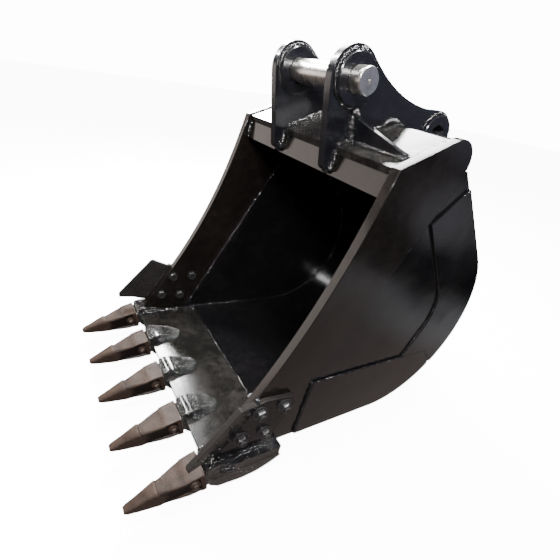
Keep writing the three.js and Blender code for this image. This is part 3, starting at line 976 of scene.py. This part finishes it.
def nut_mesh(spot, side):
    """A nut on its round washer."""
    near = side * (HALF_WIDTH + FLANGE_THICK + 0.6)
    washer = [
        (near, 14), (near, WASHER_RADIUS), (near + side * 3, WASHER_RADIUS),
        (near + side * 4.5, WASHER_RADIUS - 2), (near + side * 4.5, 14),
    ]
    nut = hex_mesh(spot, NUT_ACROSS, near + side * 4, near + side * NUT_END)
    return joined([lathe_mesh(spot, washer, 48, closed=True), nut])


def fasteners():
    for word, side in SIDES:
        for i, spot in enumerate(BOLTS):
            bolt = f"cutter_bolt_{word}_{i + 1}"
            stand_for(finish_mesh(bolt + "_fine", bolt_mesh(spot, side), FASTENER), bolt)
            nut = f"cutter_nut_{word}_{i + 1}"
            stand_for(finish_mesh(nut + "_fine", nut_mesh(spot, side), FASTENER), nut)


# ------------------------------------------------------------------------------------------------
# Weld beads

RIPPLE = 7.0  # from one ripple of a bead to the next
BEAD_STEP = 1.75


def even_points(path, step):
    """Points at an even step along a path of points."""
    points = [Vector(p) for p in path]
    out = [points[0].copy()]
    carried = 0.0
    for a, b in zip(points, points[1:]):
        length = (b - a).length
        at = step - carried
        while at <= length:
            out.append(a.lerp(b, at / length))
            at += step
        carried = length - (at - step)
    return out


def bead(bm, path, radius, seed=0.0, sides=10):
    """Sweeps one lumpy, rippled weld bead along a path."""
    points = even_points(path, BEAD_STEP)
    if len(points) < 4:
        return
    normal = Vector((0.31, 0.42, 0.85))
    rows = []
    last = len(points) - 1
    for i, p in enumerate(points):
        tangent = (points[min(i + 2, last)] - points[max(i - 2, 0)]).normalized()
        normal = (normal - tangent * normal.dot(tangent)).normalized()
        side = tangent.cross(normal)
        s = i * BEAD_STEP
        ripple = 0.8 + 0.26 * abs(math.sin(math.pi * s / RIPPLE + seed))
        lump = 1 + 0.45 * noise.noise(Vector((s * 0.04, seed * 3.1, 0.5)))
        end = min(1.0, math.sqrt((min(i, last - i) + 0.3) * BEAD_STEP / radius))
        row = []
        for k in range(sides):
            a = 2 * math.pi * k / sides
            direction = normal * math.cos(a) + side * math.sin(a)
            grain = 1 + 0.4 * noise.noise((p + direction * radius) * 0.17)
            row.append(bm.verts.new(p + direction * (radius * ripple * lump * end * grain)))
        rows.append(row)
    for first, second in zip(rows, rows[1:]):
        for k in range(sides):
            j = (k + 1) % sides
            bm.faces.new((first[k], first[j], second[j], second[k]))
    bm.faces.new(rows[0][::-1])
    bm.faces.new(rows[-1])


def bead_group(name, beads, material=None):
    """One piece of several beads, each given as (path, radius)."""
    bm = bmesh.new()
    for i, (path, radius) in enumerate(beads):
        bead(bm, path, radius, seed=i * 1.7)
    bmesh.ops.recalc_face_normals(bm, faces=bm.faces)
    piece = finish_mesh(name, mesh_of(bm), material or WELD, weighted=False)
    for edge in piece.data.edges:
        edge.use_edge_sharp = False
    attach(piece, "bucket")


def at_x(x, points):
    return [(x, y, z) for y, z in points]


def across(point, x0, x1):
    return [(x0, *point), (x1, *point)]


def ear_beads():
    back = [wrap(s, WRAP_OUTER + 1) for s in (BEND_LENGTH + 470, BEND_LENGTH + 222)]
    foot = [top_at(922, TUBE_RADIUS + 2), top_at(1112, TUBE_RADIUS + 2)]
    collar = arc(NOSE, TUBE_RADIUS + 6, TOP_ANGLE + 0.5, math.radians(0), 20)
    toe = [(926, 900), (919, 880), (905, 838), (912, 828)]
    beads = []
    for side in (1, -1):
        for face in (EAR_OUTER + 2, EAR_INNER - 2):
            beads.append((at_x(side * face, foot), 10.0))
            beads.append((at_x(side * face, collar), 11.0))
            beads.append((at_x(side * face, back), 9.0))
            beads.append((at_x(side * face, toe), 12.0))
            for lug in (FRONT_LUG, REAR_LUG):
                ring = circle(lug, BOSS_RADIUS + 3, 72)
                beads.append((at_x(side * face, [*ring, ring[0]]), 6.5))
        beads.append(([(side * (EAR_INNER - 4), 900, 829), (side * (EAR_OUTER + 4), 900, 829)], 9.0))
        beads.append(([(side * (EAR_OUTER + 4), 930, 896), (side * (EAR_OUTER + 16), 956, 898)], 14.0))
    bead_group("ear_welds", beads)


def rib_beads():
    top = top_at(RIB_Y, TUBE_RADIUS)[1] + 3
    inner = EAR_OUTER + 3
    outer = EAR_OUTER + RIB_REACH + 2
    beads = []
    for y in (RIB_Y - 3, RIB_Y + RIB_THICK + 3):
        z = top_at(y, TUBE_RADIUS)[1] + 2
        beads.append(([(inner, y, z), (outer, y, z)], 7.5))
        beads.append(([(inner + 2, y, z), (inner + 2, y, RIB_HEIGHT + 4)], 13.0))
    beads += [
        ([(inner, RIB_Y - 10, RIB_HEIGHT + 8), (inner, RIB_Y + RIB_THICK + 12, RIB_HEIGHT + 4)], 17.0),
        ([(inner + 16, RIB_Y - 2, RIB_HEIGHT), (inner + 16, RIB_Y + 18, RIB_HEIGHT - 2)], 11.0),
        ([(outer, RIB_Y - 3, top), (outer, RIB_Y + RIB_THICK + 3, top + 1)], 5.0),
    ]
    bead_group("rib_welds", beads)


def adapter_beads():
    beads = []
    under_front = wrap(LIP_START + 40, WRAP_INNER + LIP_THICK + 2)
    under_rear = wrap(LIP_END - 4, WRAP_INNER + LIP_THICK + 2)
    for i in range(1, 6):
        x = (i - 3) * TOOTH_PITCH
        sides = [side for side in (1, -1) if abs(x + side * BODY_HALF) < BAR_INNER]
        for reach, rise, radius in ((4, 2, 10.0), (-1, 11, 8.0)):
            for side in sides:
                stations = STRAP_STATIONS[2:-1]
                path = [(x + side * (half + reach), y, lip_top(y) + rise) for y, half, _ in stations]
                beads.append((path, radius))
            if len(sides) == 2:
                end = (389 + reach, lip_top(394 + reach) + rise)
                beads.append((across(end, x - 18, x + 18), radius))
        for side in (1, -1):
            edge = x + side * (BODY_HALF + 3)
            if side in sides:
                beads.append(([(edge, *under_front), (edge, *under_rear)], 9.0))
        if len(sides) == 1:
            outward = -sides[0]
            for reach, rise in ((44, -12), (42, 0), (33, 7), (22, 8), (12, 6)):
                chunk = [(x + outward * reach, y, lip_top(y) + rise) for y in (298, 330, 352)]
                beads.append((chunk, 9.5))
            for reach, rise, radius in ((10, 5, 10.0), (20, 2, 8.0)):
                run = [(x + outward * reach, y, lip_top(y) + rise) for y in (350, 430, 520)]
                beads.append((run, radius))
    bead_group("adapter_welds", beads)


def seam_beads():
    """Beads between the plates of the body: inside corners, lip, band, tube and outer edges."""
    beads = [
        (across(wrap(LIP_END, WRAP_INNER - 0.5), -BAR_INNER, BAR_INNER), 3.0),
        (across(wrap(LIP_END + 3, WRAP_OUTER + 3), -SIDE_OUTER, SIDE_OUTER), 9.0),
        (across(wrap(BEND_LENGTH + 492, WRAP_OUTER), -BAR_INNER, BAR_INNER), 6.0),
    ]
    inner_floor = wrap_line(WRAP_INNER - 2, LIP_START + 70, LIP_END)
    inner_wrap = wrap_line(WRAP_INNER - 1, LIP_END, BEND_LENGTH + 480)
    outer_wrap = wrap_line(WRAP_OUTER + 1.5, LIP_END, BEND_LENGTH + SEAM_TOP)
    lip_end_line = [wrap(LIP_START + 90, WRAP_INNER), wrap(SEAM_FOOT, WRAP_INNER)]
    seam = [seam_at(0.02), seam_at(0.98)]
    for side in (1, -1):
        beads += [
            (at_x(side * (BAR_INNER - 2), inner_floor), 9.0),
            (at_x(side * (SIDE_INNER + 2), outer_wrap), 5.0),
            (at_x(side * (SIDE_OUTER + 0.5), [seam_at(0.1, 1), seam_at(0.985, 1)]), 3.0),
            (at_x(side * (BAR_INNER - 1), [BAND_FOOT, BAND_HEAD]), 6.5),
            (at_x(side * (BAR_INNER - 1), [top_at(930, TUBE_RADIUS), top_at(1130, TUBE_RADIUS)]), 5.0),
            (at_x(side * (HALF_WIDTH + 1), lip_end_line), 7.0),
        ]
        root = edge_at(FLANGE_HIGH)
        inner_root = (side * (HALF_WIDTH - 4), root - 2, FLANGE_HIGH + 4)
        outer_root = (side * 487, root, FLANGE_HIGH + 2)
        beads.append(([inner_root, outer_root], 9.0))
    bead_group("body_welds", beads)
    bead_group("wall_seam_welds", [(at_x(side * (BAR_INNER + 1), seam), 3.2) for side in (1, -1)])
    bead_group("inner_welds", [(at_x(side * (SIDE_INNER - 1), inner_wrap), 5.0) for side in (1, -1)], BLACK)


def wear_beads():
    """Beads round the doublers, the wear plates and the strips under the heel."""
    beads = []
    fillets = []
    corner, back = wear_corner()
    front = [wear_top_at(WEAR_TOP_FRONT), wrap(WEAR_FRONT, SIDE_RADIUS - 8)]
    bend = arc(DOUBLER, DOUBLER_RADIUS + 1, DOUBLER_LOW, math.pi / 2 - BACK_SLOPE, 24)
    doubler = [wear_top_at(DOUBLER_TOE), *bend]
    for side in (1, -1):
        x = side * (SIDE_OUTER + 6)
        y = WEAR_TOP_FRONT + 14
        while y < DOUBLER_TOE - 20:
            run = 34 + 12 * math.sin(y)
            beads.append((at_x(x, [wear_top_at(y), wear_top_at(y + run)]), 4.6))
            y += run + 9
        beads.append((at_x(x, [wear_top_at(DOUBLER_TOE + 20), back, corner]), 3.4))
        beads.append((at_x(side * (SIDE_OUTER + 3), doubler), 3.6))
        fillets.append((at_x(side * (SIDE_OUTER + 1.5), front), 8.0))
    bead_group("wear_end_fillets", fillets, BLACK)
    for i in range(3):
        start = FIRST_STRIP + i * STRIP_PITCH
        for s in (start - 1, start + STRIP_LENGTH + 1):
            beads.append((across(wrap(s, WRAP_OUTER + 2), -428, 428), 7.0))
    bead_group("wear_welds", beads)


# ------------------------------------------------------------------------------------------------
# Stage


def floor():
    """A pale floor that glows for the camera, and that the bucket neither mirrors nor is lit by."""
    bpy.ops.mesh.primitive_plane_add(size=40.0, location=(0, 0, -0.0005))
    plane = bpy.context.object
    plane.name = "floor"
    n = Paint("floor_paint")
    tone = n.spread(n.noise(n.place(), 1.3), 0.3, 0.7, 0.0, 1.0)
    n.set(Base_Color=n.blend(tone, colour(0.8, 0.8, 0.8), colour(0.82, 0.82, 0.815)), Roughness=0.9)
    n.shader.inputs["Specular IOR Level"].default_value = 0.1
    n.shader.inputs["Emission Color"].default_value = colour(1.0, 1.0, 1.0)
    n.shader.inputs["Emission Strength"].default_value = FLOOR_GLOW
    plane.data.materials.append(n.material)
    plane.visible_glossy = False
    plane.visible_diffuse = False


# What the paint mirrors, by height of the mirrored direction (0 straight down, 1 straight up): towards the
# right rear a warm floor, a pale strip, dark shelves, a bluish wall and a grey ceiling, and towards the front
# left a dim wall below a darker band and the same ceiling.
RIGHT_REAR = (
    (0.0, (0.34, 0.29, 0.27)), (0.215, (0.26, 0.215, 0.2)), (0.245, (0.42, 0.41, 0.42)),
    (0.272, (0.4, 0.4, 0.42)), (0.288, (0.012, 0.012, 0.014)), (0.43, (0.016, 0.016, 0.02)),
    (0.47, (0.24, 0.25, 0.33)), (0.56, (0.2, 0.21, 0.28)), (0.66, (0.12, 0.12, 0.14)),
    (1.0, (0.6, 0.6, 0.65)),
)
FRONT_LEFT = (
    (0.0, (0.2, 0.17, 0.16)), (0.3, (0.1, 0.08, 0.075)), (0.38, (0.13, 0.11, 0.1)),
    (0.48, (0.17, 0.14, 0.13)), (0.6, (0.17, 0.14, 0.13)), (0.68, (0.08, 0.08, 0.08)),
    (0.85, (0.22, 0.22, 0.22)), (1.0, (0.8, 0.8, 0.82)),
)


def world():
    """A pale surround for the camera, and a dim workshop for the paint to mirror."""
    sky = bpy.data.worlds.new("surround")
    bpy.context.scene.world = sky
    sky.use_nodes = True
    sky.node_tree.nodes.clear()
    n = Nodes(sky.node_tree)
    seen = n.add("ShaderNodeTexCoord").outputs["Generated"]
    wobble = n.math("MULTIPLY", n.noise(seen, 5.0, 3.0, 0.5), 2 * RAGGED)
    up = n.add("ShaderNodeSeparateXYZ", Vector=seen).outputs["Z"]
    height = n.math("ADD", wobble, n.spread(up, -1.0, 1.0, 0.0, 1.0))
    level = n.math("SUBTRACT", height, RAGGED)
    rearward = n.spread(n.along(seen, REAR_WALL), -0.25, 0.35, 0.0, 1.0)
    walls = n.blend(rearward, n.ramp(level, FRONT_LEFT), n.ramp(level, RIGHT_REAR))
    window = n.spread(n.along(seen, FAR_WINDOW), 0.994, 0.9985, 0.0, 1.0)
    mirrored = n.blend(window, walls, colour(0.36, 0.36, 0.4))
    workshop = n.add("ShaderNodeBackground", Color=mirrored)
    pale = n.add("ShaderNodeBackground", Color=colour(1.0, 1.0, 1.0), Strength=SURROUND)
    path = n.add("ShaderNodeLightPath")
    shown = n.add("ShaderNodeMixShader", Fac=path.outputs["Is Camera Ray"])
    n.put(shown.inputs[1], workshop.outputs[0])
    n.put(shown.inputs[2], pale.outputs[0])
    n.add("ShaderNodeOutputWorld", Surface=shown.outputs[0])


def lamp(name, direction, distance, size, power, tint=(1.0, 1.0, 1.0), target=(0, 0, 0.6)):
    """A rectangular lamp that stands off its target in the given direction and faces it."""
    data = bpy.data.lights.new(name, "AREA")
    data.shape = "RECTANGLE"
    data.size = size[0]
    data.size_y = size[1]
    data.energy = power
    data.color = tint
    lamp_object = bpy.data.objects.new(name, data)
    bpy.context.scene.collection.objects.link(lamp_object)
    aim = Vector(direction).normalized()
    lamp_object.location = Vector(target) + aim * distance
    lamp_object.rotation_euler = aim.to_track_quat("Z", "Y").to_euler()


def lamps():
    lamp("ceiling lights", (-0.66, 0.446, 0.611), 4.2, (2.6, 1.6), 420)
    lamp("lip glare", (-0.71, 0.353, 0.609), 4.5, (1.0, 0.9), 420, target=(-0.12, -0.47, 0.12))
    lamp("front window", (-0.7, -0.7, 0.12), 4.0, (3.0, 1.4), 22, (1.0, 0.9, 0.84))
    lamp("soft top", (0.2, -0.3, 1.0), 4.0, (3.0, 3.0), 40)
    lamp("tube overhead", (0.05, 0.1, 1.0), 3.0, (0.14, 2.0), 260)
    lamp("tube behind the camera", (0.75, -0.5, 0.75), 3.5, (1.6, 0.14), 230)
    lamp("tube at the left", (-0.8, -0.3, 0.9), 3.5, (0.14, 1.6), 260)


def camera():
    data = bpy.data.cameras.new("camera")
    data.lens = 22.89
    data.sensor_width = 36.0
    data.clip_end = 60.0
    camera_object = bpy.data.objects.new("camera", data)
    bpy.context.scene.collection.objects.link(camera_object)
    right = Vector((0.51899, 0.84177, 0.14856))
    up = Vector((-0.49616, 0.15514, 0.85427))
    back = right.cross(up)
    turn = Matrix((right, up, back)).transposed().to_4x4()
    camera_object.matrix_world = Matrix.Translation((1.1155, -0.8158, 1.2677)) @ turn
    bpy.context.scene.camera = camera_object


cutting_bars()
side_plates()
heel_doublers()
bottom_wear_plates()
shell()
lip_plate()
top_plate()
front_band()
torque_tube()
wear_strips()
ears()
bosses()
hinge_pin()
rib()
teeth()
adapters()
side_cutters()
fasteners()
ear_beads()
rib_beads()
adapter_beads()
seam_beads()
wear_beads()
floor()
world()
lamps()
camera()
